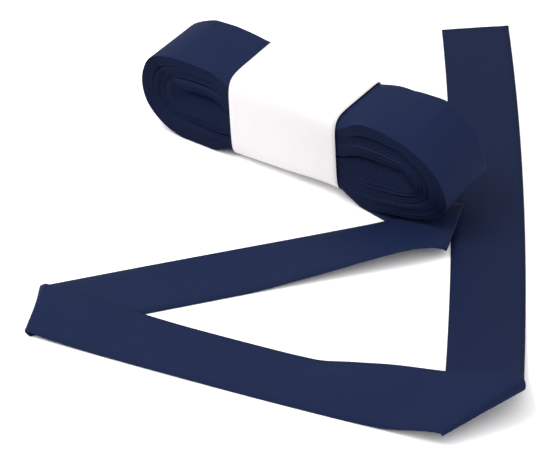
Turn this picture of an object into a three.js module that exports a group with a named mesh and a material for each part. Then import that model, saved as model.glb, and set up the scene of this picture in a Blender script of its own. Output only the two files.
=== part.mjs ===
// A hank of grosgrain ribbon: a flat oval winding, a paper band round its waist, and one loose
// end that leaves the winding underneath and lies beside it in three folds.
// Millimetres, +Z up. X runs along the hank, Y runs across the ribbon, away from the front.
import * as THREE from 'three';

// Driving dimensions
const RIBBON_WIDTH = 22;
const HALF_WIDTH = RIBBON_WIDTH / 2;
const SHEET = 1; // thickness of the solids of cloth and paper
const GAP = 0.3; // clearance between pieces that touch

// The waist, where the band holds the winding, at the band's left and right edge. The band's edges
// lean and turn a little: how far they move along X for each millimetre down or back.
const BAND = { left: -25, right: 14.2, lean: 0.06, yaw: 0.07 };
const WAIST_LEFT = { bottom: 1.7, top: 28.5 };
const WAIST_RIGHT = { bottom: 3.4, top: 28.6 };
const WAIST_MIDDLE = { x: -5.5, bottom: 2.5, top: 28.5 };
const WAIST_END = 17; // the lower side of the waist goes on to here, under the band's lower edge

// The winding, seen from the front: its outer turn as a closed loop of points
const WINDING_OUTLINE = [
  { x: -58.6, z: 14.6 },
  { x: -58.1, z: 20.6 },
  { x: -55.5, z: 25.4 },
  { x: -49.0, z: 28.1 },
  { x: -39.5, z: 28.8 },
  { x: -32.0, z: 28.6 },
  { x: BAND.left, z: WAIST_LEFT.top },
  { x: WAIST_MIDDLE.x, z: WAIST_MIDDLE.top },
  { x: BAND.right, z: WAIST_RIGHT.top },
  { x: 20.0, z: 29.6 },
  { x: 26.5, z: 30.2 },
  { x: 34.0, z: 29.5 },
  { x: 42.0, z: 27.2 },
  { x: 50.9, z: 20.9 },
  { x: 54.8, z: 11.6 },
  { x: 51.0, z: 6.9 },
  { x: 43.0, z: 4.3 },
  { x: 34.0, z: 2.7 },
  { x: 27.0, z: 0.0 },
  { x: 23.5, z: 0.0 },
  { x: WAIST_END, z: WAIST_RIGHT.bottom },
  { x: WAIST_MIDDLE.x, z: WAIST_MIDDLE.bottom },
  { x: BAND.left, z: WAIST_LEFT.bottom },
  { x: -31.0, z: 0.1 },
  { x: -37.0, z: -0.3 },
  { x: -44.0, z: -0.1 },
  { x: -50.6, z: 2.5 },
  { x: -56.7, z: 8.0 },
];
const OUTLINE_STEPS = 84;

// How much taller the winding is at its back edge than at its front, as a share, along X
const BACK_RISE = [
  { at: -60, share: 0 },
  { at: -52, share: 0.055 },
  { at: -45.5, share: 0.105 },
  { at: -38, share: 0.115 },
  { at: -25, share: 0.11 },
  { at: 14, share: 0.075 },
  { at: 28, share: 0.075 },
  { at: 34, share: 0.12 },
  { at: 40, share: 0.18 },
  { at: 56, share: 0.2 },
];

// The innermost turn is a flat slot between the two eyes of the winding
const CORE = { left: -42, right: 38.2, height: 16.9, thickness: 1.4 };

// Rings of the winding's faces, from the outer turn to the core: how far in each ring lies, as a
// share of the way to the core, and how deep it is sunk between the groups of turns
const FACE_RINGS = [
  { share: 0.0, sunk: 0.0 },
  { share: 0.24, sunk: 0.0 },
  { share: 0.27, sunk: 0.9 },
  { share: 0.3, sunk: 0.1 },
  { share: 0.52, sunk: 0.1 },
  { share: 0.56, sunk: 1.3 },
  { share: 0.6, sunk: 0.2 },
  { share: 0.82, sunk: 0.3 },
  { share: 0.93, sunk: 1.5 },
  { share: 1.0, sunk: 4.5 },
];
// Places across the ribbon where the outer turn has points
const WALL_COLUMNS = [-1, -0.8, -0.45, 0, 0.45, 0.8, 1].map((share) => share * HALF_WIDTH);

// The waist's rounded section. Its corners are the corners of a squared oval of this power, and the
// winding's edges are drawn in with them, fading beside the band.
const WAIST = { halfWidth: 11.45, halfHeight: 13.2, frontPower: 6, backPower: 16, fade: 11 };
const BAND_SLACK = 0.2;
const BAND_SIDES = 56;

// The loose end. It starts under the winding, turns over at three creases and ends in a cut.
// The edge that is nearer the front along the second and third runs is called the near edge.
const START = { x: 34.1, y: -1.7 };
const FIRST_CREASE = { x: 54.0, y: -5.5 };
const LEFT_CREASE = { x: -23.6, y: -109.1 };
const CORNER_CREASE = { x: 110.3, y: -80.6 };
const CUT_END = { x: -3.0, y: 97.5 };

// One row for each run between creases. Bow is its sideways curve in the middle. Fan and skew slant
// its first and last cross line, for each millimetre sideways. Heights are those of its underside
// along the two edges, at shares of its length.
const RUNS = [
  {
    from: START,
    to: FIRST_CREASE,
    bow: 0,
    fan: 0,
    skew: 0,
    heights: [
      { at: 0.0, near: 0.0, far: 0.0 },
      { at: 0.5, near: 0.3, far: 1.3 },
      { at: 1.0, near: 0.8, far: 1.6 },
    ],
  },
  {
    from: FIRST_CREASE,
    to: LEFT_CREASE,
    bow: 0,
    fan: 0,
    skew: 0,
    heights: [
      { at: 0.0, near: 2.2, far: 2.9 },
      { at: 0.035, near: 3.9, far: 2.9 },
      { at: 0.09, near: 4.6, far: 2.3 },
      { at: 0.15, near: 4.2, far: 1.7 },
      { at: 0.25, near: 2.9, far: 1.1 },
      { at: 0.37, near: 1.3, far: 0.2 },
      { at: 0.5, near: 0.1, far: 0.0 },
      { at: 1.0, near: 0.0, far: 0.0 },
    ],
  },
  {
    from: LEFT_CREASE,
    to: CORNER_CREASE,
    bow: -1.3,
    fan: 0.16,
    skew: 0,
    heights: [
      { at: 0.0, near: 3.0, far: 1.6 },
      { at: 0.07, near: 1.3, far: 1.4 },
      { at: 0.2, near: 0.3, far: 1.4 },
      { at: 0.33, near: 0.0, far: 0.2 },
      { at: 0.58, near: 0.0, far: 0.4 },
      { at: 0.66, near: 0.1, far: 2.9 },
      { at: 0.75, near: 0.3, far: 5.6 },
      { at: 0.85, near: 0.9, far: 7.6 },
      { at: 1.0, near: 4.4, far: 10.9 },
    ],
  },
  {
    from: CORNER_CREASE,
    to: CUT_END,
    bow: -2.9,
    fan: 0,
    skew: -0.165,
    heights: [
      { at: 0.0, near: 3.0, far: 7.0 },
      { at: 0.07, near: 1.2, far: 2.6 },
      { at: 0.15, near: 0.1, far: 0.8 },
      { at: 0.27, near: 0.0, far: 0.0 },
      { at: 1.0, near: 0.0, far: 0.0 },
    ],
  },
];
const RUN_STEP = 6; // spacing of the cross lines along a run
const FOLD_STEPS = 7;
const ACROSS = [0, 0.25, 0.5, 0.75, 1]; // from the near edge to the far edge

const NAVY = 0x232b4f;
const PAPER = 0xf4f1f2;

// A closed surface through a stack of loops of equal length. capOf gives the triangles that close
// a loop, with their corners in the loop's own order. Without it the last loop joins the first.
function loftLoops(loops, capOf) {
  const size = loops[0].length;
  const positions = loops.flat().flatMap((point) => [point.x, point.y, point.z]);
  const faces = [];
  const strips = capOf ? loops.length - 1 : loops.length;
  for (let row = 0; row < strips; row += 1) {
    for (let column = 0; column < size; column += 1) {
      const next = (column + 1) % size;
      const here = row * size;
      const above = ((row + 1) % loops.length) * size;
      faces.push([here + column, here + next, above + next]);
      faces.push([here + column, above + next, above + column]);
    }
  }
  if (capOf) {
    const last = (loops.length - 1) * size;
    faces.push(...capOf(loops[0]).map(([a, b, c]) => [a, c, b]));
    faces.push(...capOf(loops.at(-1)).map((face) => face.map((corner) => corner + last)));
  }
  return solidGeometry(positions, faces);
}

// Cap of a loop that is a plane figure in X and Z. Two corners that follow each other in the loop
// show whether the triangles go round it or against it.
function flatCap(loop) {
  const contour = loop.map((point) => new THREE.Vector2(point.x, point.z));
  const faces = THREE.ShapeUtils.triangulateShape(contour, []);
  const inOrder = faces.some(([a, b, c]) => b === a + 1 || c === b + 1);
  return inOrder ? faces : faces.map(([a, b, c]) => [a, c, b]);
}

// Cap of a loop that runs out along one face of a sheet and back along the other
function sheetCap(loop) {
  const pairs = loop.length / 2 - 1;
  return Array.from({ length: pairs }, (_, column) => {
    const opposite = loop.length - 1 - column;
    return [[column, column + 1, opposite - 1], [column, opposite - 1, opposite]];
  }).flat();
}

// Indexed geometry, turned inside out where its volume comes out negative
function solidGeometry(positions, faces) {
  const at = (index) => new THREE.Vector3().fromArray(positions, index * 3);
  const volume = faces.reduce((sum, [a, b, c]) => sum + at(a).dot(at(b).cross(at(c))), 0);
  const outward = volume < 0 ? faces.map(([a, b, c]) => [a, c, b]) : faces;
  const geometry = new THREE.BufferGeometry();
  geometry.setAttribute('position', new THREE.Float32BufferAttribute(positions, 3));
  geometry.setIndex(outward.flat());
  geometry.computeVertexNormals();
  return geometry;
}

// A value between the rows of a table, on a smooth curve that never overshoots them
function alongTable(rows, column, at) {
  const last = rows.length - 2;
  const index = THREE.MathUtils.clamp(rows.findLastIndex((row) => row.at <= at), 0, last);
  const rise = (row) => rows[row + 1][column] - rows[row][column];
  const span = (row) => rows[row + 1].at - rows[row].at;
  const tangent = (row) => {
    if (row === 0 || row > last) return 0;
    const before = rise(row - 1) / span(row - 1);
    const after = rise(row) / span(row);
    return before * after > 0 ? (2 * before * after) / (before + after) : 0;
  };
  const t = (at - rows[index].at) / span(index);
  const start = span(index) * tangent(index);
  const end = span(index) * tangent(index + 1);
  const square = 3 * rise(index) - 2 * start - end;
  const cube = start + end - 2 * rise(index);
  return rows[index][column] + t * start + t * t * square + t ** 3 * cube;
}

// Outer turn

function outlinePoints() {
  const points = WINDING_OUTLINE.map(({ x, z }) => new THREE.Vector3(x, 0, z));
  const curve = new THREE.CatmullRomCurve3(points, true, 'centripetal');
  const loop = curve.getSpacedPoints(OUTLINE_STEPS).slice(0, OUTLINE_STEPS);
  return loop.map((point) => new THREE.Vector2(point.x, Math.max(point.z, 0)));
}

function inwardNormals(loop) {
  return loop.map((_, index) => {
    const before = loop.at(index - 1);
    const after = loop[(index + 1) % loop.length];
    const along = after.clone().sub(before).normalize();
    return new THREE.Vector2(along.y, -along.x);
  });
}

// 1 under the band, falling smoothly to 0 beside it
function pinch(x) {
  const beyond = Math.max(BAND.left - x, x - BAND.right, 0);
  const share = Math.min(beyond / WAIST.fade, 1);
  return 1 - share * share * (3 - 2 * share);
}

const waistPower = (y) => (y < 0 ? WAIST.frontPower : WAIST.backPower);

// How far the waist's rounded section lies inside its own top or bottom, at this place across it
function cornerDrop(y) {
  const power = waistPower(y);
  const reach = Math.min(Math.abs(y) / WAIST.halfWidth, 1);
  return WAIST.halfHeight * (1 - (1 - reach ** power) ** (1 / power));
}

const riseTowardsBack = (x, y) =>
  1 + alongTable(BACK_RISE, 'share', x) * ((y + HALF_WIDTH) / RIBBON_WIDTH);

// The loop of the outer turn at one place across the ribbon
function wallLoop(outline, inward, y) {
  return outline.map((point, index) => {
    const drop = cornerDrop(y) * pinch(point.x);
    const moved = point.clone().addScaledVector(inward[index], drop);
    return new THREE.Vector3(moved.x, y, moved.y * riseTowardsBack(moved.x, y));
  });
}

// The point of the core that a point of the outer turn shrinks towards
function corePoint(point) {
  const reach = THREE.MathUtils.clamp(point.x, CORE.left, CORE.right);
  const middle = (CORE.left + CORE.right) / 2;
  const half = (CORE.right - CORE.left) / 2;
  const away = new THREE.Vector2(point.x - reach, point.y - CORE.height).normalize();
  const x = middle + (reach - middle) * (1 - CORE.thickness / half);
  return new THREE.Vector2(x, CORE.height).addScaledVector(away, CORE.thickness / 2);
}

// One ring of the front face (side -1) or the back face (side 1)
function faceLoop(edgeLoop, ring, side) {
  return edgeLoop.map((edge) => {
    const flat = new THREE.Vector2(edge.x, edge.z / riseTowardsBack(edge.x, edge.y));
    const place = flat.clone().lerp(corePoint(flat), ring.share);
    const sunk = ring.sunk * (1 - pinch(place.x));
    const rise = riseTowardsBack(place.x, edge.y);
    return new THREE.Vector3(place.x, side * (HALF_WIDTH - sunk), place.y * rise);
  });
}

function hankGeometry() {
  const outline = outlinePoints();
  const inward = inwardNormals(outline);
  const walls = WALL_COLUMNS.map((y) => wallLoop(outline, inward, y));
  const inner = FACE_RINGS.slice(1);
  const front = inner.map((ring) => faceLoop(walls[0], ring, -1)).reverse();
  const back = inner.map((ring) => faceLoop(walls.at(-1), ring, 1));
  return loftLoops([...front, ...walls, ...back], flatCap);
}

// Paper band

// One edge of the band: the waist's rounded section at x, grown outwards
function bandLoop(x, waist, grow) {
  const middle = (waist.top + waist.bottom) / 2;
  const halfHeight = waist.top - middle + grow;
  const halfWidth = WAIST.halfWidth + grow;
  return Array.from({ length: BAND_SIDES }, (_, index) => {
    const angle = (index / BAND_SIDES) * 2 * Math.PI;
    const bend = (value) => Math.sign(value) * Math.abs(value) ** (2 / waistPower(Math.cos(angle)));
    const y = halfWidth * bend(Math.cos(angle));
    const z = (middle + halfHeight * bend(Math.sin(angle))) * riseTowardsBack(x, y);
    const moved = BAND.lean * (waist.top - z) + BAND.yaw * (y + HALF_WIDTH);
    return new THREE.Vector3(x + moved, y, z);
  });
}

function bandGeometry() {
  const inside = GAP + BAND_SLACK;
  const outside = inside + SHEET;
  return loftLoops([
    bandLoop(BAND.left, WAIST_LEFT, outside),
    bandLoop(BAND.right, WAIST_RIGHT, outside),
    bandLoop(BAND.right, WAIST_RIGHT, inside),
    bandLoop(BAND.left, WAIST_LEFT, inside),
  ]);
}

// Loose end

// Length and directions of a run: its chord, the chord's left side, and its first and last heading
function runFrame(run) {
  const from = new THREE.Vector2(run.from.x, run.from.y);
  const chord = new THREE.Vector2(run.to.x, run.to.y).sub(from);
  const length = chord.length();
  const along = chord.normalize();
  const left = new THREE.Vector2(-along.y, along.x);
  const turn = (4 * run.bow) / length;
  return {
    from,
    length,
    along,
    left,
    first: along.clone().addScaledVector(left, turn).normalize(),
    last: along.clone().addScaledVector(left, -turn).normalize(),
  };
}

// A fold maps one heading on the next, so its crease lies along their sum
const creaseDirection = (before, after) => before.last.clone().add(after.first).normalize();

// How far a run's first (or last) cross line slants at this crease, for each millimetre sideways
function slantAt(frames, before, after, run) {
  if (!frames[before] || !frames[after]) return 0;
  const crease = creaseDirection(frames[before], frames[after]);
  return crease.dot(frames[run].along) / crease.dot(frames[run].left);
}

// A point of a run's plan: distance along the chord, and side to the left of it
function planPoint(run, frame, distance, side) {
  const part = THREE.MathUtils.clamp(distance / frame.length, 0, 1);
  const offset = side + 4 * run.bow * part * (1 - part);
  return frame.from.clone().addScaledVector(frame.along, distance).addScaledVector(frame.left, offset);
}

// The cross lines of a run, each a list of points of the sheet's middle from near edge to far edge
function runLines(index, frames) {
  const run = RUNS[index];
  const frame = frames[index];
  const flip = index % 2 === 0 ? 1 : -1; // each fold turns the ribbon over
  const firstSlant = slantAt(frames, index - 1, index, index) + run.fan;
  const lastSlant = slantAt(frames, index, index + 1, index) + run.skew;
  const steps = Math.ceil(frame.length / RUN_STEP);
  return Array.from({ length: steps + 1 }, (_, step) => {
    const at = step / steps;
    const near = alongTable(run.heights, 'near', at);
    const far = alongTable(run.heights, 'far', at);
    return ACROSS.map((share) => {
      const side = flip * (share - 0.5) * RIBBON_WIDTH;
      const distance = THREE.MathUtils.lerp(side * firstSlant, frame.length + side * lastSlant, at);
      const plan = planPoint(run, frame, distance, side);
      return new THREE.Vector3(plan.x, plan.y, THREE.MathUtils.lerp(near, far, share) + SHEET / 2);
    });
  });
}

// Cross lines that carry the sheet round a crease, in half a circle at each place across it
function foldLines(before, after, outward) {
  return Array.from({ length: FOLD_STEPS - 1 }, (_, step) => {
    const angle = ((step + 1) / FOLD_STEPS) * Math.PI;
    return before.map((point, column) => {
      const half = point.clone().sub(after[column]).multiplyScalar(0.5);
      const reach = Math.abs(half.z) * Math.sin(angle);
      const middle = after[column].clone().add(half);
      return middle.addScaledVector(half, Math.cos(angle)).addScaledVector(outward, reach);
    });
  });
}

function tailLines() {
  const frames = RUNS.map(runFrame);
  const lines = runLines(0, frames);
  for (let index = 1; index < RUNS.length; index += 1) {
    const next = runLines(index, frames);
    const crease = creaseDirection(frames[index - 1], frames[index]);
    const heading = frames[index - 1].last;
    const outward = heading.clone().addScaledVector(crease, -heading.dot(crease)).normalize();
    lines.push(...foldLines(lines.at(-1), next[0], new THREE.Vector3(outward.x, outward.y, 0)), ...next);
  }
  return lines;
}

// The sheet's thickness, given to its cross lines as closed loops: one face out, the other back
function thickenLines(lines) {
  return lines.map((line, row) => {
    const before = lines[Math.max(row - 1, 0)];
    const after = lines[Math.min(row + 1, lines.length - 1)];
    const across = line.at(-1).clone().sub(line[0]).normalize();
    const normals = line.map((_, column) => {
      const along = after[column].clone().sub(before[column]);
      return along.cross(across).normalize();
    });
    const moved = (point, column, depth) => point.clone().addScaledVector(normals[column], depth);
    const upper = line.map((point, column) => moved(point, column, SHEET / 2));
    const lower = line.map((point, column) => moved(point, column, -SHEET / 2));
    return [...upper, ...lower.reverse()];
  });
}

const tailGeometry = () => loftLoops(thickenLines(tailLines()), sheetCap);

// Assembly

function addPiece(group, name, geometry, color, roughness) {
  const material = new THREE.MeshStandardMaterial({ color, roughness, metalness: 0 });
  const piece = new THREE.Mesh(geometry, material);
  piece.name = name;
  group.add(piece);
}

const hank = new THREE.Group();
addPiece(hank, 'hank', hankGeometry(), NAVY, 0.8);
addPiece(hank, 'band', bandGeometry(), PAPER, 0.7);
addPiece(hank, 'tail', tailGeometry(), NAVY, 0.8);

// The origin goes to the middle of the underside of the whole object
const bounds = new THREE.Box3().setFromObject(hank);
const middle = bounds.getCenter(new THREE.Vector3());
hank.position.set(-middle.x, -middle.y, -bounds.min.z);

const part = new THREE.Group();
part.add(hank);

export default part;
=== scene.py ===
# A hank of navy grosgrain ribbon in a paper band, with its loose end laid out in folds.
# Tables are in millimetres, in the hank's own frame: X along the hank, Y across the ribbon and away
# from the front, Z up. Meshes are made in metres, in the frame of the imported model.
import math

import bmesh
import bpy
import numpy as np
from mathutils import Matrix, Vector, noise


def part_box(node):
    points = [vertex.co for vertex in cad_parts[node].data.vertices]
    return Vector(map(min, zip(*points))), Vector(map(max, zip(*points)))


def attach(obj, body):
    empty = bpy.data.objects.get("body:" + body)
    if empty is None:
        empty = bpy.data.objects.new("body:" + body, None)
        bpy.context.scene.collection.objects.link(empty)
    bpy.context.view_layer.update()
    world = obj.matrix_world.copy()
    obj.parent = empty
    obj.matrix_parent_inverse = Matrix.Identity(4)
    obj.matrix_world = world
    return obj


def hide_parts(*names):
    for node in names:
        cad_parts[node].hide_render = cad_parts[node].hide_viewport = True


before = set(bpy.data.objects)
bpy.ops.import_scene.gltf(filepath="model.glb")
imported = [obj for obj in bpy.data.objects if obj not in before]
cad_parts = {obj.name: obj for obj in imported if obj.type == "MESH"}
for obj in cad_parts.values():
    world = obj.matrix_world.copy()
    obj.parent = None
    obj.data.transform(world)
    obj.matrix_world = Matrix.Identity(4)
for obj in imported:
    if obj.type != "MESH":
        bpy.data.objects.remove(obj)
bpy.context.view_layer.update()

MM = 0.001
MERGE_DISTANCE = 1e-6  # in metres
NOISE_PLANE = 0.37  # the third coordinate of all noise on the winding

RIBBON_WIDTH = 22.0
HALF_WIDTH = RIBBON_WIDTH / 2
RIBBON_THICKNESS = 0.4
RIB_PITCH = 0.7
RIB_HEIGHT = 0.045
RIB_SAMPLES = 4  # rows of points in each rib
RIB_ROUNDNESS = 1.6  # above 1, ridges are broader than grooves

# How far the middle of a sheet's edge stands out past its corners
EDGE_BULGE = {"winding": 0.08, "loose_end": 0.1, "paper": 0.02}

# The winding's outline from the front, as X and Z. It starts underneath, where the loose end leaves.
WINDING_OUTLINE = [
    (27.0, 0.0),
    (22.5, 0.1),
    (18.6, 0.7),
    (14.6, 2.5),
    (-5.5, 1.6),
    (-25.0, 0.6),
    (-30.5, 0.1),
    (-37.0, 0.0),
    (-44.0, 0.2),
    (-50.6, 2.5),
    (-56.7, 8.0),
    (-58.9, 14.6),
    (-58.2, 20.6),
    (-55.5, 25.4),
    (-49.0, 28.1),
    (-39.5, 28.8),
    (-32.0, 28.6),
    (-25.0, 28.5),
    (-5.5, 28.4),
    (14.0, 28.6),
    (20.0, 29.6),
    (26.5, 30.2),
    (34.0, 29.5),
    (42.0, 27.2),
    (50.9, 20.9),
    (54.8, 11.6),
    (51.0, 6.7),
    (43.0, 3.4),
    (34.0, 1.6),
]
OUTLINE_COUNT = 1440
HANK_LEFT = -58.6  # where the solid's left end lies in the hank's own frame

TURNS = 34
TURN_THICKNESS = 0.34
TIGHTNESS = 0.88  # share of the room between two turns that the ribbon fills
TURN_STEPS = 96  # rows of points in each inner turn
OUTER_END = 1.03  # turns, counted from the outside, that have real ribs
INNER_END = TURNS - 0.02  # the ribbon ends just short of the core
OUTER_COLUMNS = np.array([-1, -0.96, -0.8, -0.45, 0, 0.45, 0.8, 0.96, 1.0])
INNER_COLUMNS = np.array([-1, -0.8, 0, 0.8, 1.0])

# How much taller the winding is at its back edge than at its front, as a share, along X
BACK_RISE = {
    "x": [-60.0, -52.0, -45.5, -38.0, -25.0, 14.0, 28.0, 34.0, 40.0, 56.0],
    "share": [0.0, 0.055, 0.105, 0.115, 0.11, 0.075, 0.075, 0.12, 0.18, 0.2],
}
# The innermost turn: its ends, its height, how far the band presses it down, and its thickness
CORE = {"left": -42.0, "right": 38.2, "height": 16.9, "sag": 1.9, "thickness": 1.2}

# The band's edges at the top of its front. They move to the right by "lean" for each millimetre
# down, and by "yaw" for each millimetre back.
BAND = {"left": -25.0, "right": 14.2, "top": 28.5, "lean": 0.06, "yaw": 0.07}

# The winding's section under the band: a rounded box, with squarer corners at a higher power.
# "fade" is how far beyond the band it takes to become the lobes' section.
WAIST = {"half_width": 11.45, "half_height": 13.5, "front_power": 6.0, "back_power": 16.0, "fade": 9.0}
SECTION_COUNT = 720  # points round the section
SECTION_PASSES = 3

# Where groups of turns stand apart: at this turn, near this place on the outline
GAPS = [
    {"turn": 12, "x": 33.0, "upper": True, "reach": 22.0, "open": 1.1},
    {"turn": 21, "x": 35.0, "upper": True, "reach": 18.0, "open": 0.6},
    {"turn": 20, "x": -36.0, "upper": True, "reach": 22.0, "open": 0.8},
    {"turn": 32, "x": -33.0, "upper": True, "reach": 14.0, "open": 0.7},
    {"turn": 13, "x": -32.0, "upper": False, "reach": 20.0, "open": 0.45},
    {"turn": 17, "x": 42.0, "upper": False, "reach": 14.0, "open": 0.7},
    {"turn": 9, "x": -56.0, "upper": True, "reach": 16.0, "open": 0.3},
]
# How far a turn stands forward, at four places round the winding
FORWARD = {
    "turn": [0, 1, 11, 13, 19, 21, 28, 33, 34],
    "right_lower": [0.3, 0.4, 0.9, 0.6, 0.4, 0.2, -0.6, -1.6, -2.0],
    "left_lower": [0.0, 0.0, 0.2, -0.7, -0.5, 0.3, -0.4, -1.4, -1.8],
    "left_upper": [0.0, 0.0, 0.1, -0.2, -0.3, 0.9, 0.2, -1.2, -1.6],
    "right_upper": [0.0, 0.0, 0.1, -0.9, -0.4, 0.6, -0.3, -1.4, -1.8],
}
FORWARD_PLACES = {
    "right_lower": {"x": 30.0, "upper": False},
    "left_lower": {"x": -38.0, "upper": False},
    "left_upper": {"x": -38.0, "upper": True},
    "right_upper": {"x": 33.0, "upper": True},
}
# How the turns' edges wander: slowly, with a smaller quick part, and less where the band holds them
WANDER = {
    "size": 0.22,
    "slow_rate": 1.7,
    "slow_seed": 4.2,
    "quick_rate": 9.0,
    "quick_seed": 8.1,
    "quick_share": 0.6,
    "held_share": 0.8,
}

# The loose end's runs. The middle of a run stands off its chord by "bow", to the left. Its first and
# last cross lines slant as its creases do, and more by "fan" and "skew". Its heights are given for
# the edge nearer to the front and for the far edge, at shares of its length.
RUNS = [
    {
        "from": (27.0, -0.3),
        "to": (54.0, -5.5),
        "bow": 0.0,
        "fan": 0.0,
        "skew": 0.0,
        "heights": {
            "at": [0.0, 0.5, 0.7, 1.0],
            "near": [0.0, 0.0, 0.4, 1.9],
            "far": [0.0, 0.15, 0.5, 0.6],
        },
    },
    {
        "from": (54.0, -5.5),
        "to": (-23.6, -109.1),
        "bow": -0.13,
        "fan": 0.0,
        "skew": 0.0,
        "heights": {
            "at": [0.0, 0.035, 0.09, 0.14, 0.19, 0.25, 0.37, 0.5, 0.85, 1.0],
            "near": [2.6, 3.95, 4.7, 4.4, 3.8, 2.91, 1.32, 0.07, 0.0, 0.0],
            "far": [1.2, 1.2, 1.05, 0.85, 0.15, 0.0, 0.0, 0.11, 0.28, 0.28],
        },
    },
    {
        "from": (-23.6, -109.1),
        "to": (110.3, -80.6),
        "bow": -1.32,
        "fan": 0.16,
        "skew": 0.0,
        "heights": {
            "at": [0.0, 0.07, 0.2, 0.33, 0.5, 0.58, 0.66, 0.75, 0.85, 1.0],
            "near": [1.2, 0.6, 0.21, 0.21, 0.08, 0.0, 0.0, 0.0, 0.3, 3.6],
            "far": [1.87, 1.4, 0.7, 0.23, 0.2, 0.46, 2.86, 5.58, 7.53, 11.43],
        },
    },
    {
        "from": (110.3, -80.6),
        "to": (-3.0, 97.5),
        "bow": -2.91,
        "fan": 0.0,
        "skew": -0.165,
        "heights": {
            "at": [0.0, 0.07, 0.15, 0.27, 1.0],
            "near": [2.6, 1.19, 0.11, 0.0, 0.0],
            "far": [7.82, 2.52, 0.81, 0.0, 0.0],
        },
    },
]
LOFT_STEP = 0.6
FOLD_STEPS = 16
FOLD_BULGE = 0.55  # how far a fold's bend stands out, as a share of half its height
FOLD_MARGIN = 1.5  # how far past a fold the sheet keeps all its columns
TAIL_COLUMNS = np.linspace(-1.0, 1.0, 57)
WIDE_COLUMNS = 7  # away from the folds only every seventh column is kept

PAPER_THICKNESS = 0.2
PAPER_OVERLAP = 14.0
PAPER_CLEARANCE = 0.2
PAPER_START = 0.125  # how far below the middle of the back it starts, as a share of the way round
# The paper's end rises over its start, from this far before the start to this far after it
PAPER_LIFT = {"before": 6.0, "after": 1.0, "thicknesses": 1.15}
PAPER_ROWS = 228
PAPER_COLUMNS = 25
HEADING_STEP = 0.2  # how far ahead the paper's heading is read

# Colours are linear. Noise scales are per metre, and bump distances are in metres.
NAVY = (0.0084, 0.0153, 0.0500, 1)
# Painted shade: a darker navy in the ribs' grooves, standing in for the shade down in them
NAVY_GROOVE_SHADE = (0.0049, 0.0090, 0.0325, 1)
NAVY_LIGHT = (0.0101, 0.0180, 0.0560, 1)
NAVY_CLOUDS = {"scale": 55.0, "detail": 3.0}
SLUBS = {"scale": 900.0, "detail": 2.0}
GROOVE_SHADE_SHARE = 0.2  # how much of the ribbon's full colour is left in a groove
THREAD_PITCH = 0.18
THREAD_RELIEF = 0.5
RIBBON_SURFACE = {"roughness": 0.62, "specular": 0.05}
RIBBON_BUMP = {"strength": 0.25, "distance": 0.00004}
# Painted shade: the winding's cut faces are darkened, standing in for the shade between its turns
PAINTED_EDGE_SHADE = {"width": 0.01, "shade": 0.66}
# Painted shade: the loose end is darkened past its last fold, standing in for the weaker sheen where its
# ribs lie across the line of sight. The distances are along the flat ribbon.
LAST_RUN_PAINTED_SHADE = {"from": 296.0, "to": 350.0, "shade": 0.84}

PAPER_WHITE = (0.652, 0.633, 0.639, 1)
PAPER_GREY = (0.624, 0.600, 0.608, 1)
PAPER_CLOUDS = {"scale": 260.0, "detail": 5.0}
PAPER_GRAIN = {"scale": 2400.0, "detail": 3.0}
PAPER_SURFACE = {"roughness": 0.55, "specular": 0.35}
PAPER_BUMP = {"strength": 0.12, "distance": 0.00003}

FLOOR_GREY = (0.96, 0.96, 0.96, 1)
FLOOR_WHITE = (0.98, 0.98, 0.98, 1)
FLOOR_CLOUDS = {"scale": 3.0, "detail": 2.0}
FLOOR_SURFACE = {"roughness": 0.9, "specular": 0.0}

# The stage is in metres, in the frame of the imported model
FLOOR_HALF = 3.0
FLOOR_HEIGHT = -0.00002
KEY_LIGHT = {"place": (-0.42, -0.26, 0.64), "target": (0.0, -0.02, 0.0), "size": 0.45, "power": 3.6}
WORLD_STRENGTH = 1.25

# The camera's place and target are in millimetres, in the hank's own frame
CAMERA_TARGET = (8.75, -34.66, 0.0)
CAMERA_PLACE = (449.1, -663.5, 537.5)
CAMERA_LENS = 204.1
CAMERA_SENSOR = 36.0
CAMERA_REACH = 20.0  # in metres


def hank_origin():
    """Where the hank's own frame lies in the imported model, in millimetres."""
    low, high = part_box("hank")
    return np.array([low.x / MM - HANK_LEFT, (low.y + high.y) / 2 / MM, 0.0])


ORIGIN = hank_origin()


def in_model(points):
    """Points of the hank's own frame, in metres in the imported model."""
    return (points + ORIGIN) * MM


# Curves


def unit(vector):
    return vector / np.linalg.norm(vector)


def ease(t):
    """From 0 to 1, starting and ending gently."""
    return t * t * (3 - 2 * t)


def cubic(t, start, start_slope, end, end_slope, span=1):
    """The curve from start to end with these slopes, over a span of this length."""
    return (
        (2 * t**3 - 3 * t**2 + 1) * start
        + (t**3 - 2 * t**2 + t) * span * start_slope
        + (3 * t**2 - 2 * t**3) * end
        + (t**3 - t**2) * span * end_slope
    )


def along_table(at, values, where):
    """Values between the rows of a table, on a smooth curve that never overshoots them."""
    at = np.asarray(at, float)
    values = np.asarray(values, float)
    slope = np.diff(values) / np.diff(at)
    tangent = np.zeros(len(at))
    product = slope[:-1] * slope[1:]
    both = slope[:-1] + slope[1:]
    same_way = product > 0
    tangent[1:-1][same_way] = 2 * product[same_way] / both[same_way]
    where = np.clip(where, at[0], at[-1])
    row = np.clip(np.searchsorted(at, where, side="right") - 1, 0, len(at) - 2)
    span = at[row + 1] - at[row]
    t = (where - at[row]) / span
    return cubic(t, values[row], tangent[row], values[row + 1], tangent[row + 1], span)


def resample(points, lengths, where):
    """Points of a polyline at these distances from its start."""
    return np.stack([np.interp(where, lengths, points[:, k]) for k in range(points.shape[1])], -1)


def path_lengths(points):
    """The distance of each point from the first, along the polyline."""
    steps = np.linalg.norm(np.diff(points, axis=0), axis=1)
    return np.concatenate([[0.0], np.cumsum(steps)])


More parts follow.
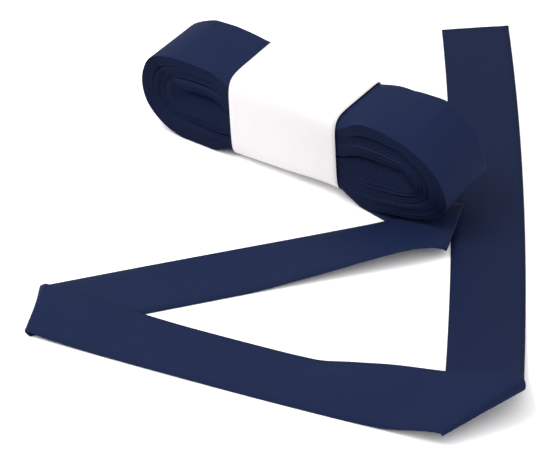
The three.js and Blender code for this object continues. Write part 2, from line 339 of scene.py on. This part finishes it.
def closed_curve(points, count, samples=24):
    """count points, evenly spaced along a smooth closed curve through points."""
    points = np.asarray(points, float)
    total = len(points)
    line = []
    for i in range(total):
        p0, p1, p2, p3 = (points[(i + k) % total] for k in (-1, 0, 1, 2))
        d01, d12, d23 = (math.sqrt(np.linalg.norm(b - a)) for a, b in ((p0, p1), (p1, p2), (p2, p3)))
        m1 = ((p1 - p0) / d01 - (p2 - p0) / (d01 + d12) + (p2 - p1) / d12) * d12
        m2 = ((p2 - p1) / d12 - (p3 - p1) / (d12 + d23) + (p3 - p2) / d23) * d12
        line += [cubic(t, p1, m1, p2, m2) for t in np.arange(samples) / samples]
    line = np.array(line + line[:1])
    lengths = path_lengths(line)
    return resample(line, lengths, np.linspace(0, lengths[-1], count, endpoint=False))


def rib(along):
    """Height of the ribs at this distance along the ribbon, from -1 in a groove to 1 on a ridge."""
    wave = 0.5 - 0.5 * np.cos(2 * math.pi * along / RIB_PITCH)
    return 1 - 2 * wave**RIB_ROUNDNESS


# Meshes


def new_object(name, mesh):
    piece = bpy.data.objects.new(name, mesh)
    bpy.context.scene.collection.objects.link(piece)
    return piece


def sheet_loops(middle, half_thickness, edge_bulge, guide=None):
    """Closed loops round a sheet: its upper face, one edge, its lower face and the other edge.

    middle is rows of points across the sheet. The guide has the same rows before they were cut.
    """
    guide = middle if guide is None else guide
    along = np.gradient(guide, axis=0)
    sideways = guide[:, -1:] - guide[:, :1]
    normal = np.cross(along, sideways)
    normal /= np.linalg.norm(normal, axis=2, keepdims=True)
    side = sideways / np.linalg.norm(sideways, axis=2, keepdims=True)
    upper = middle + normal * half_thickness
    lower = middle - normal * half_thickness
    last = middle[:, -1:] + side * edge_bulge
    first = middle[:, :1] - side * edge_bulge
    return np.concatenate([upper, last, lower[:, ::-1], first], axis=1)


def sheet_uv(along, across):
    """The same loops laid flat: distance across the sheet and along it."""
    rows = along if along.ndim == 2 else np.repeat(along[:, None], len(across), axis=1)
    wide = np.concatenate([across, across[-1:], across[::-1], across[:1]])
    long = np.concatenate([rows, rows[:, -1:], rows[:, ::-1], rows[:, :1]], axis=1)
    return np.stack([np.broadcast_to(wide, long.shape), long], -1)


def numbered(loops, start):
    """A number for each point of the loops, counted from start."""
    rows, size = loops.shape[:2]
    return start + np.arange(rows * size).reshape(rows, size)


def wall_faces(index):
    """Faces with four corners, between each loop of numbered points and the next loop."""
    here, across = index[:-1], np.roll(index, -1, axis=1)[:-1]
    above, corner = index[1:], np.roll(index, -1, axis=1)[1:]
    return np.stack([here, across, corner, above], -1).reshape(-1, 4).tolist()


def cloth_mesh(name, parts, faces):
    """A smooth mesh from parts of (loops, uv), which keeps the flat cloth as its UV map."""
    points = np.concatenate([in_model(loops.reshape(-1, 3)) for loops, _ in parts])
    uvs = np.concatenate([uv.reshape(-1, 2) * MM for _, uv in parts])
    mesh = bpy.data.meshes.new(name)
    mesh.from_pydata(points.tolist(), [], faces)
    corners = np.zeros(len(mesh.loops), np.int32)
    mesh.loops.foreach_get("vertex_index", corners)
    layer = mesh.uv_layers.new(name="cloth")
    layer.data.foreach_set("uv", uvs[corners].ravel())
    mesh.polygons.foreach_set("use_smooth", [True] * len(mesh.polygons))
    mesh.update()
    return mesh


def tube_mesh(name, shells):
    """A mesh of separate closed tubes. Each shell is (loops, uv)."""
    faces = []
    start = 0
    for loops, _ in shells:
        index = numbered(loops, start)
        faces += wall_faces(index)
        faces.append(index[0][::-1].tolist())
        faces.append(index[-1].tolist())
        start += index.size
    return cloth_mesh(name, shells, faces)


def loop_marks(count, step):
    """Where a sheet's closed loop has the points that its coarser neighbours share."""
    shared = np.arange(0, count, step)
    return np.concatenate([shared, [count], count + 1 + shared, [2 * count + 1]])


def stretch(marks, k, size):
    """The loop's indices from one mark to the next, going round."""
    last = marks[(k + 1) % len(marks)]
    last = last if last > marks[k] else last + size
    return np.arange(marks[k], last + 1) % size


def seam_faces(before, before_marks, after, marks):
    """Faces between two loops of different sizes, one from each pair of marks to the next."""
    faces = []
    for k in range(len(marks)):
        here = before[stretch(before_marks, k, len(before))]
        there = after[stretch(marks, k, len(after))]
        faces.append(here.tolist() + there[::-1].tolist())
    return faces


def joined_tube(name, zones):
    """A mesh of one closed tube. Each zone is (loops, uv, marks), with loops of its own size."""
    faces = []
    before, before_marks = None, None
    start = 0
    for loops, _, marks in zones:
        index = numbered(loops, start)
        if before is None:
            faces.append(index[0][::-1].tolist())
        else:
            faces += seam_faces(before, before_marks, index[0], marks)
        faces += wall_faces(index)
        before, before_marks = index[-1], marks
        start += index.size
    faces.append(before.tolist())
    return cloth_mesh(name, [(loops, uv) for loops, uv, _ in zones], faces)


def merge_points(mesh):
    shape = bmesh.new()
    shape.from_mesh(mesh)
    bmesh.ops.remove_doubles(shape, verts=shape.verts, dist=MERGE_DISTANCE)
    shape.to_mesh(mesh)
    shape.free()


# Winding


def pinch(x):
    """1 under the band, falling smoothly to 0 beside it."""
    beyond = np.maximum(np.maximum(BAND["left"] - x, x - BAND["right"]), 0)
    return 1 - ease(np.minimum(beyond / WAIST["fade"], 1))


def band_shift(y, z):
    """How far the band's edges stand to the right at this place, as they lean and turn."""
    return BAND["lean"] * (BAND["top"] - z) + BAND["yaw"] * (y + HALF_WIDTH)


def waist_power(y):
    """The power of the waist's section, which is rounder along its front corners."""
    return np.where(y < 0, WAIST["front_power"], WAIST["back_power"])


def corner_drop(y):
    """How far the waist's rounded section lies inside its own top or bottom, across the ribbon."""
    power = waist_power(y)
    reach = np.minimum(np.abs(y) / WAIST["half_width"], 1)
    return WAIST["half_height"] * (1 - (1 - reach**power) ** (1 / power))


def rise_towards_back(x, y):
    """What a height is multiplied by at this place, as the winding is taller towards its back."""
    share = np.interp(x, BACK_RISE["x"], BACK_RISE["share"])
    return 1 + share * (y + HALF_WIDTH) / RIBBON_WIDTH


def winding_outline():
    """Evenly spaced points of the outline, high enough to keep the ribs off the floor."""
    outline = closed_curve(WINDING_OUTLINE, OUTLINE_COUNT)
    outline[:, 1] = np.maximum(outline[:, 1], RIB_HEIGHT)
    return outline


def core_points(outline):
    """The point of the innermost turn that each point of the outline shrinks towards."""
    reach = np.clip(outline[:, 0], CORE["left"], CORE["right"])
    height = CORE["height"] - CORE["sag"] * pinch(reach)
    away = np.stack([outline[:, 0] - reach, outline[:, 1] - height], -1)
    away /= np.linalg.norm(away, axis=1, keepdims=True)
    middle = (CORE["left"] + CORE["right"]) / 2
    half = (CORE["right"] - CORE["left"]) / 2
    x = middle + (reach - middle) * (1 - CORE["thickness"] / half)
    return np.stack([x, height], -1) + away * CORE["thickness"] / 2


OUTLINE = winding_outline()
OUTLINE_LENGTH = path_lengths(np.vstack([OUTLINE, OUTLINE[:1]]))[-1]
CORE_LINE = core_points(OUTLINE)


def outline_side(upper):
    """True for each point of the outline that lies above the core, or else below it."""
    return (OUTLINE[:, 1] > CORE["height"]) == upper


def outline_height(x, upper):
    """Height of the outline above or below the core at this place along it."""
    points = OUTLINE[outline_side(upper)]
    points = points[np.argsort(points[:, 0])]
    return np.interp(x, points[:, 0], points[:, 1])


def share_at(x, upper):
    """The share of a turn at which the outline passes x, above or below the core."""
    distance = np.where(outline_side(upper), np.abs(OUTLINE[:, 0] - x), np.inf)
    return np.argmin(distance) / OUTLINE_COUNT


def round_winding(points, share):
    """Points that belong to the outline's, read at shares of a turn."""
    places = np.arange(OUTLINE_COUNT + 1) / OUTLINE_COUNT
    return resample(np.vstack([points, points[:1]]), places, share)


def near_share(share, centre, reach):
    """A soft bump of height 1 round a place on the outline, ending this many millimetres away."""
    away = np.abs((share - centre + 0.5) % 1 - 0.5) * OUTLINE_LENGTH
    return np.where(away < reach, 0.5 + 0.5 * np.cos(math.pi * np.minimum(away / reach, 1)), 0)


def turn_depth(turns, share):
    """How deep a turn lies under the outline, how much room it has, and which way is inwards."""
    room = round_winding(CORE_LINE - OUTLINE, share)
    total = np.linalg.norm(room, axis=-1)
    depth = total * turns / TURNS
    spare = total
    for gap in GAPS:
        opened = gap["open"] * near_share(share, share_at(gap["x"], gap["upper"]), gap["reach"])
        depth = depth + opened * ((np.floor(turns) >= gap["turn"]) - turns / TURNS)
        spare = spare - opened
    return depth, spare / TURNS, room / total[:, None]


def forward_shift(turns, share):
    """How far a turn stands forward here, eased from each place in the table to the next."""
    share_of = {name: share_at(**place) for name, place in FORWARD_PLACES.items()}
    names = sorted(share_of, key=share_of.get)
    shift = np.zeros_like(turns)
    for name, following in zip(names, names[1:] + names[:1]):
        left = share_of[name]
        right = share_of[following] + (following == names[0])
        t = (np.where(share < left, share + 1, share) - left) / (right - left)
        eased = ease(np.clip(t, 0, 1))
        here = np.interp(turns, FORWARD["turn"], FORWARD[name])
        there = np.interp(turns, FORWARD["turn"], FORWARD[following])
        shift = np.where((t >= 0) & (t <= 1), here * (1 - eased) + there * eased, shift)
    return shift


def smooth_noise(values, seed):
    """Noise for each value, changing smoothly from one to the next."""
    return np.array([noise.noise(Vector((float(value), seed, NOISE_PLANE))) for value in values])


def wander(turns):
    """How far the ribbon's edges stray from their place in the winding."""
    slow = smooth_noise(turns * WANDER["slow_rate"], WANDER["slow_seed"])
    quick = smooth_noise(turns * WANDER["quick_rate"], WANDER["quick_seed"])
    return WANDER["size"] * (slow + WANDER["quick_share"] * quick)


def winding_rows(turns, columns):
    """Rows of points across the ribbon at these counts of turns, and the ribbon's thickness."""
    share = turns % 1
    depth, pitch, inward = turn_depth(turns, share)
    thickness = np.minimum(TURN_THICKNESS, TIGHTNESS * pitch)
    place = round_winding(OUTLINE, share) + inward * (depth + thickness / 2)[:, None]
    squeeze = pinch(place[:, 0] - band_shift(0.0, place[:, 1]))
    forward = forward_shift(turns, share) * (1 - squeeze)
    strayed = wander(turns) * (1 - WANDER["held_share"] * squeeze)
    y = columns * HALF_WIDTH - (forward + strayed)[:, None]
    drop = corner_drop(columns * HALF_WIDTH) * (squeeze * (1 - turns / TURNS))[:, None]
    x = place[:, :1] + inward[:, :1] * drop
    z = (place[:, 1:] + inward[:, 1:] * drop) * rise_towards_back(x, y)
    return np.stack([x, y, z], -1), thickness


def wound_ribbon(turns, columns, ribbed):
    """Closed loops round a stretch of the wound ribbon, and the same loops laid flat."""
    rows, thickness = winding_rows(turns, columns)
    along = path_lengths(rows[:, len(columns) // 2])
    half = thickness / 2 + (RIB_HEIGHT * (rib(along) - 1) if ribbed else 0)
    loops = sheet_loops(rows, half[:, None, None], EDGE_BULGE["winding"])
    return loops, sheet_uv(along, columns * HALF_WIDTH)


def make_hank():
    outer_steps = int(OUTER_END * OUTLINE_LENGTH / RIB_PITCH * RIB_SAMPLES)
    inner_steps = int((TURNS - OUTER_END) * TURN_STEPS)
    outer = wound_ribbon(np.linspace(0, OUTER_END, outer_steps + 1), OUTER_COLUMNS, ribbed=True)
    inner = wound_ribbon(np.linspace(OUTER_END, INNER_END, inner_steps + 1), INNER_COLUMNS, ribbed=False)
    return new_object("hank_turns", tube_mesh("hank_turns", [outer, inner]))


# Paper band


def waist_section(x, grow):
    """The waist's rounded section as a closed loop of points, grown outwards.

    Its points shift along the hank with the band's edges, so their heights are worked out again.
    """
    angle = np.linspace(0, 2 * math.pi, SECTION_COUNT, endpoint=False)
    across, up = np.cos(angle), np.sin(angle)
    power = 2 / waist_power(across)
    y = (WAIST["half_width"] + grow) * np.sign(across) * np.abs(across) ** power
    place = np.full(SECTION_COUNT, x)
    for _ in range(SECTION_PASSES):
        top, bottom = outline_height(place, True), outline_height(place, False)
        middle = (top + bottom) / 2
        z = middle + (top - middle + grow) * np.sign(up) * np.abs(up) ** power
        z = z * rise_towards_back(place, y)
        place = x + band_shift(y, z)
    return np.stack([place, y, z], -1)


def paper_path(x):
    """The paper's route round the waist, its end lapped over its start, and its distances along."""
    loop = waist_section(x, PAPER_CLEARANCE)
    loop = np.roll(loop, int(SECTION_COUNT * PAPER_START), axis=0)
    closed = np.vstack([loop, loop[:1]])
    lengths = path_lengths(closed)
    perimeter = lengths[-1]
    where = np.linspace(0, perimeter + PAPER_OVERLAP, PAPER_ROWS)
    places = resample(closed, lengths, where % perimeter)
    heading = resample(closed, lengths, (where + HEADING_STEP) % perimeter) - places
    outward = np.stack([np.zeros(len(where)), heading[:, 2], -heading[:, 1]], -1)
    outward /= np.linalg.norm(outward, axis=1, keepdims=True)
    climb = [perimeter - PAPER_LIFT["before"], perimeter + PAPER_LIFT["after"]]
    lift = np.interp(where, climb, [0, 1]) * PAPER_THICKNESS * PAPER_LIFT["thicknesses"]
    return places + outward * lift[:, None], where


def make_band():
    """The paper band, and the length of its sheet."""
    across = np.linspace(BAND["left"], BAND["right"], PAPER_COLUMNS)
    paths = [paper_path(x) for x in across]
    where = paths[0][1]
    rows = np.stack([path for path, _ in paths], axis=1)
    loops = sheet_loops(rows, PAPER_THICKNESS / 2, EDGE_BULGE["paper"])
    mesh = tube_mesh("paper_band", [(loops, sheet_uv(where, across))])
    return new_object("paper_band", mesh), where[-1]


# Loose end


def run_frame(run):
    """A run's start, length and direction, and its directions at both ends, as it bows."""
    start = np.array(run["from"])
    chord = np.array(run["to"]) - start
    length = np.linalg.norm(chord)
    along = chord / length
    left = np.array([-along[1], along[0]])
    turn = 4 * run["bow"] / length  # the slope of the bow's parabola at its ends
    return {
        "start": start,
        "length": length,
        "along": along,
        "left": left,
        "first": unit(along + left * turn),
        "last": unit(along - left * turn),
    }


def slant(crease, plan):
    """How far a crease runs forward for each millimetre to the left of a run."""
    return crease @ plan["along"] / (crease @ plan["left"])


def run_rows(index, frames, creases):
    """Cross lines of a run, slanted at its ends as its creases are."""
    run, plan = RUNS[index], frames[index]
    flip = 1 if index % 2 == 0 else -1
    first = run["fan"] + (slant(creases[index - 1], plan) if index > 0 else 0)
    last = run["skew"] + (slant(creases[index], plan) if index < len(creases) else 0)
    steps = int(math.ceil(plan["length"] / LOFT_STEP))
    at = np.linspace(0, 1, steps + 1)[:, None]
    side = flip * TAIL_COLUMNS[None, :] * HALF_WIDTH
    distance = side * first * (1 - at) + (plan["length"] + side * last) * at
    part = np.clip(distance / plan["length"], 0, 1)
    offset = side + 4 * run["bow"] * part * (1 - part)
    xy = plan["start"] + distance[..., None] * plan["along"] + offset[..., None] * plan["left"]
    heights = run["heights"]
    near = along_table(heights["at"], heights["near"], at)
    far = along_table(heights["at"], heights["far"], at)
    share = (TAIL_COLUMNS[None, :] + 1) / 2
    z = near * (1 - share) + far * share + RIBBON_THICKNESS / 2 + RIB_HEIGHT
    return np.concatenate([xy, z[..., None]], -1)


def fold_rows(before, after, outward):
    """Cross lines that carry the ribbon round a crease, in half an oval at each place across it."""
    angle = (np.arange(1, FOLD_STEPS) / FOLD_STEPS * math.pi)[:, None, None]
    half = (before - after)[None] / 2
    reach = FOLD_BULGE * np.abs(half[..., 2:]) * np.sin(angle)
    return after[None] + half + half * np.cos(angle) + outward * reach


def tail_surface():
    """Rows of points across the ribbon, and the first and last row of each fold."""
    frames = [run_frame(run) for run in RUNS]
    pairs = list(zip(frames, frames[1:]))
    creases = [unit(before["last"] + after["first"]) for before, after in pairs]
    rows = [run_rows(0, frames, creases)]
    folds = []
    for index, crease in enumerate(creases):
        heading = frames[index]["last"]
        outward = np.append(unit(heading - crease * (heading @ crease)), 0)
        following = run_rows(index + 1, frames, creases)
        rows.append(fold_rows(rows[-1][-1], following[0], outward))
        first = sum(len(part) for part in rows[:-1]) - 1
        folds.append((first, first + FOLD_STEPS))
        rows.append(following)
    return np.concatenate(rows), folds


def lengthen(column):
    """The column with one more point past its end, straight on."""
    return np.vstack([column, column[-1] + unit(column[-1] - column[-2]) * RIBBON_WIDTH])


def fold_zones(lengths, folds, even):
    """True for each cut that lies in a fold, with a margin before and after it."""
    inside = np.zeros(len(even), bool)
    for first, last in folds:
        low = min(length[first] for length in lengths) - FOLD_MARGIN
        high = max(length[last] for length in lengths) + FOLD_MARGIN
        inside |= (even > low) & (even < high)
    return inside


def tail_zones(loops, uv, fine):
    """The tail's loops in zones: all columns in the folds, and fewer between them."""
    shared = loop_marks(len(TAIL_COLUMNS), WIDE_COLUMNS)
    borders = np.flatnonzero(np.diff(fine)) + 1
    zones = []
    for rows in np.split(np.arange(len(fine)), borders):
        if fine[rows[0]]:
            zones.append((loops[rows], uv[rows], shared))
        else:
            zones.append((loops[rows][:, shared], uv[rows][:, shared], np.arange(len(shared))))
    return zones


def make_tail():
    """The loose end, and the length of its sheet.

    Each column of its surface is cut again at even distances, so that the ribs run straight across.
    Past the slanted last edge the cuts fall together, and their points are merged.
    """
    surface, folds = tail_surface()
    columns = [lengthen(surface[:, k]) for k in range(surface.shape[1])]
    lengths = [path_lengths(column) for column in columns]
    ends = np.array([length[-2] for length in lengths])
    even = np.arange(0, ends.max() + RIB_PITCH, RIB_PITCH / RIB_SAMPLES)
    along = np.minimum(even[:, None], ends)
    guide = np.stack([resample(column, length, even) for column, length in zip(columns, lengths)], 1)
    pieces = zip(columns, lengths, along.T)
    middle = np.stack([resample(column, length, where) for column, length, where in pieces], 1)
    half = (RIBBON_THICKNESS / 2 + RIB_HEIGHT * rib(along))[..., None]
    loops = sheet_loops(middle, half, EDGE_BULGE["loose_end"], guide)
    uv = sheet_uv(along, TAIL_COLUMNS * HALF_WIDTH)
    mesh = joined_tube("loose_end", tail_zones(loops, uv, fold_zones(lengths, folds, even)))
    merge_points(mesh)
    return new_object("loose_end", mesh), ends.mean()


# Materials


class Nodes:
    """A short way to write a material's nodes."""

    def __init__(self, name):
        self.material = bpy.data.materials.new(name)
        self.material.use_nodes = True
        self.tree = self.material.node_tree
        self.shader = self.tree.nodes["Principled BSDF"]

    def feed(self, socket, value):
        """Link the socket to a node's output, or set its value."""
        if isinstance(value, bpy.types.NodeSocket):
            self.tree.links.new(value, socket)
        else:
            socket.default_value = value

    def add(self, kind, inputs, **settings):
        node = self.tree.nodes.new(kind)
        for name, value in settings.items():
            setattr(node, name, value)
        for socket, value in inputs.items():
            self.feed(node.inputs[socket], value)
        return node

    def compute(self, operation, *values):
        """The result of an operation on numbers or nodes' outputs."""
        return self.add("ShaderNodeMath", dict(enumerate(values)), operation=operation).outputs[0]

    def mix(self, factor, first, second):
        inputs = {"Factor": factor, "A": first, "B": second}
        return self.add("ShaderNodeMix", inputs, data_type="RGBA").outputs["Result"]

    def times(self, colour, factor):
        """The colour, made lighter or darker by a number or a node's output."""
        inputs = {0: colour, "Scale": factor}
        return self.add("ShaderNodeVectorMath", inputs, operation="SCALE").outputs["Vector"]

    def clouds(self, scale, detail):
        """Noise from 0 to 1 that is fixed to the object."""
        place = self.add("ShaderNodeTexCoord", {}).outputs["Object"]
        inputs = {"Vector": place, "Scale": scale, "Detail": detail}
        return self.add("ShaderNodeTexNoise", inputs).outputs["Fac"]

    def wave(self, distance, pitch):
        """A cosine of this pitch, from 0 to 1."""
        angle = self.compute("MULTIPLY", distance, 2 * math.pi / pitch)
        return self.compute("MULTIPLY_ADD", self.compute("COSINE", angle), 0.5, 0.5)

    def surface(self, colour, roughness, specular):
        self.feed(self.shader.inputs["Base Color"], colour)
        self.shader.inputs["Roughness"].default_value = roughness
        self.shader.inputs["Specular IOR Level"].default_value = specular

    def bump(self, height, strength, distance):
        inputs = {"Height": height, "Strength": strength, "Distance": distance}
        relief = self.add("ShaderNodeBump", inputs)
        self.feed(self.shader.inputs["Normal"], relief.outputs["Normal"])


def cloth_axes(nodes):
    """Distances across the sheet and along it, in millimetres."""
    uv = nodes.add("ShaderNodeUVMap", {}, uv_map="cloth").outputs["UV"]
    split = nodes.add("ShaderNodeSeparateXYZ", {"Vector": uv})
    return [nodes.compute("DIVIDE", split.outputs[axis], MM) for axis in ("X", "Y")]


def paint_edge_shade(nodes, across, colour, width, shade):
    """The colour, with painted shade on the sheet's edges."""
    edge = nodes.compute("GREATER_THAN", nodes.compute("ABSOLUTE", across), HALF_WIDTH - width)
    return nodes.mix(edge, colour, nodes.times(colour, shade))


def paint_shade_past(nodes, along, colour, zone):
    """The colour, with painted shade fading in over a zone along the sheet and staying past it."""
    span = {"Value": along, "From Min": zone["from"], "From Max": zone["to"]}
    fade = nodes.add("ShaderNodeMapRange", {**span, "To Min": 1.0, "To Max": zone["shade"]})
    return nodes.times(colour, fade.outputs["Result"])


def grosgrain(name, edge=None, last_run_shade=None):
    """Navy ribbon with ribs across it and painted shade in their grooves. Painted shade can also darken
    its edges or its last run.
    """
    nodes = Nodes(name)
    across, along = cloth_axes(nodes)
    body = nodes.mix(nodes.clouds(**NAVY_CLOUDS), NAVY, NAVY_LIGHT)
    ribs = nodes.wave(along, RIB_PITCH)
    # Painted shade in the ribs' grooves
    ridge = nodes.compute("MULTIPLY_ADD", ribs, 1 - GROOVE_SHADE_SHARE, GROOVE_SHADE_SHARE)
    colour = nodes.mix(ridge, NAVY_GROOVE_SHADE, body)
    # Painted shade on the winding's cut faces, standing in for the shade between its turns
    if edge:
        colour = paint_edge_shade(nodes, across, colour, **edge)
    # Painted shade past the last fold, standing in for the weaker sheen of ribs lying across the line of
    # sight
    if last_run_shade:
        colour = paint_shade_past(nodes, along, colour, last_run_shade)
    nodes.surface(colour, **RIBBON_SURFACE)
    threads = nodes.compute("MULTIPLY", nodes.wave(across, THREAD_PITCH), THREAD_RELIEF)
    nodes.bump(nodes.compute("ADD", threads, nodes.clouds(**SLUBS)), **RIBBON_BUMP)
    return nodes.material


def paper():
    nodes = Nodes("paper")
    nodes.surface(nodes.mix(nodes.clouds(**PAPER_CLOUDS), PAPER_GREY, PAPER_WHITE), **PAPER_SURFACE)
    nodes.bump(nodes.clouds(**PAPER_GRAIN), **PAPER_BUMP)
    return nodes.material


def studio_floor():
    nodes = Nodes("studio_floor")
    nodes.surface(nodes.mix(nodes.clouds(**FLOOR_CLOUDS), FLOOR_GREY, FLOOR_WHITE), **FLOOR_SURFACE)
    return nodes.material


# Stage


def make_floor():
    mesh = bpy.data.meshes.new("floor")
    corners = [(x * FLOOR_HALF, y * FLOOR_HALF, 0) for x, y in ((-1, -1), (1, -1), (1, 1), (-1, 1))]
    mesh.from_pydata(corners, [], [(0, 1, 2, 3)])
    mesh.materials.append(studio_floor())
    floor = new_object("floor", mesh)
    floor.location.z = FLOOR_HEIGHT


def aim(holder, place, target):
    """Put a lamp or camera at a place and turn it towards its target."""
    holder.location = place
    holder.rotation_euler = (Vector(target) - Vector(place)).to_track_quat("-Z", "Y").to_euler()


def make_light(name, place, target, size, power):
    light = bpy.data.lights.new(name, "AREA")
    light.size = size
    light.energy = power
    aim(new_object(name, light), place, target)


def make_world():
    world = bpy.data.worlds.new("studio")
    world.use_nodes = True
    background = world.node_tree.nodes["Background"]
    background.inputs["Color"].default_value = (1.0, 1.0, 1.0, 1)
    background.inputs["Strength"].default_value = WORLD_STRENGTH
    bpy.context.scene.world = world


def make_camera():
    camera = bpy.data.cameras.new("camera")
    camera.lens = CAMERA_LENS
    camera.sensor_width = CAMERA_SENSOR
    camera.clip_end = CAMERA_REACH
    holder = new_object("camera", camera)
    aim(holder, in_model(np.array(CAMERA_PLACE)), in_model(np.array(CAMERA_TARGET)))
    bpy.context.scene.camera = holder


# Assembly

make_camera()
hank = make_hank()
band, paper_length = make_band()
tail, tail_length = make_tail()

# The winding gets painted shade on its cut faces
hank.data.materials.append(grosgrain("wound_grosgrain", edge=PAINTED_EDGE_SHADE))
# The loose end gets painted shade past its last fold
tail.data.materials.append(grosgrain("grosgrain", last_run_shade=LAST_RUN_PAINTED_SHADE))
band.data.materials.append(paper())

for piece, node, slot in ((hank, "hank", "ribbon"), (band, "band", "paper"), (tail, "tail", "ribbon")):
    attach(piece, "root")
    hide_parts(node)

make_floor()
make_world()
make_light("key", **KEY_LIGHT)
bpy.context.scene.view_settings.view_transform = "Standard"
